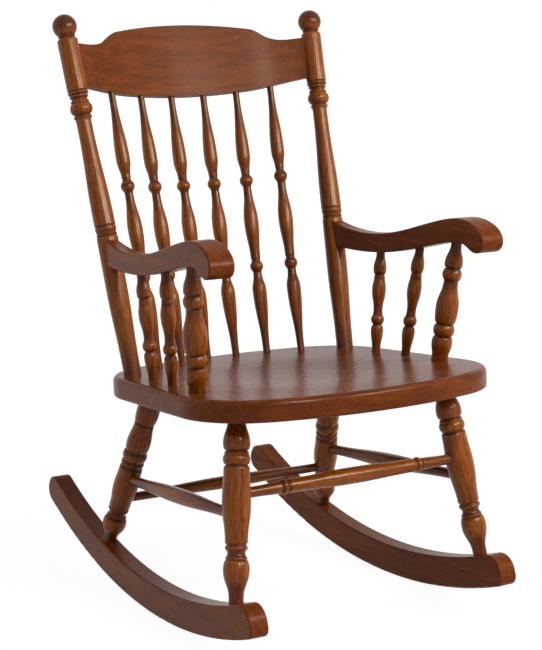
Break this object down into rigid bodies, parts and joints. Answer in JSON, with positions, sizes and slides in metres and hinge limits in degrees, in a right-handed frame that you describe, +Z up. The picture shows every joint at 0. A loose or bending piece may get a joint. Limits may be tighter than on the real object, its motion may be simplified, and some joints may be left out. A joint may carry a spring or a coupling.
{
  "type": "rocking chair",
  "caption": "Wooden rocking chair with turned posts and spindles, a shaped crest rail, scrolled arms, a broad dished seat and curved rockers.",
  "frame": {"origin": "on the floor under the middle of the chair's box: X = 0 is the plane of symmetry, Y = 0 is halfway along the rockers", "axes": "+Z up, -Y is the way the sitter faces, +X is to the right of someone who stands in front and faces the chair"},
  "size_m": [0.6126, 0.844, 1.083],
  "materials": {
    "seat_wood": "satin red-brown stained hardwood under clear lacquer",
    "crest_wood": "satin brown stained hardwood with fine level grain",
    "board_wood": "satin red-brown stained hardwood",
    "turned_wood": "satin orange-brown stained hardwood, darker in the grooves",
    "screw_steel": "zinc plated steel"
  },
  "bodies": {
    "root": {"seat": "seat_wood", "crest_rail": "crest_wood", "front_stretcher": "turned_wood", "rear_stretcher": "turned_wood", "rocker_left": "board_wood", "front_leg_left": "turned_wood", "rear_leg_left": "turned_wood", "side_stretcher_left": "turned_wood", "back_post_left": "turned_wood", "arm_post_left": "turned_wood", "arm_spindle_front_left": "turned_wood", "arm_spindle_rear_left": "turned_wood", "arm_left": "board_wood", "rocker_right": "board_wood", "front_leg_right": "turned_wood", "rear_leg_right": "turned_wood", "side_stretcher_right": "turned_wood", "back_post_right": "turned_wood", "arm_post_right": "turned_wood", "arm_spindle_front_right": "turned_wood", "arm_spindle_rear_right": "turned_wood", "arm_right": "board_wood", "back_spindle_1": "turned_wood", "back_spindle_2": "turned_wood", "back_spindle_3": "turned_wood", "back_spindle_4": "turned_wood", "back_spindle_5": "turned_wood", "back_spindle_6": "turned_wood", "rocker_screws": "screw_steel", "arm_screws": "screw_steel", "arm_screw_plugs": "turned_wood", "crest_pins": "turned_wood"}
  },
  "joints": []
}
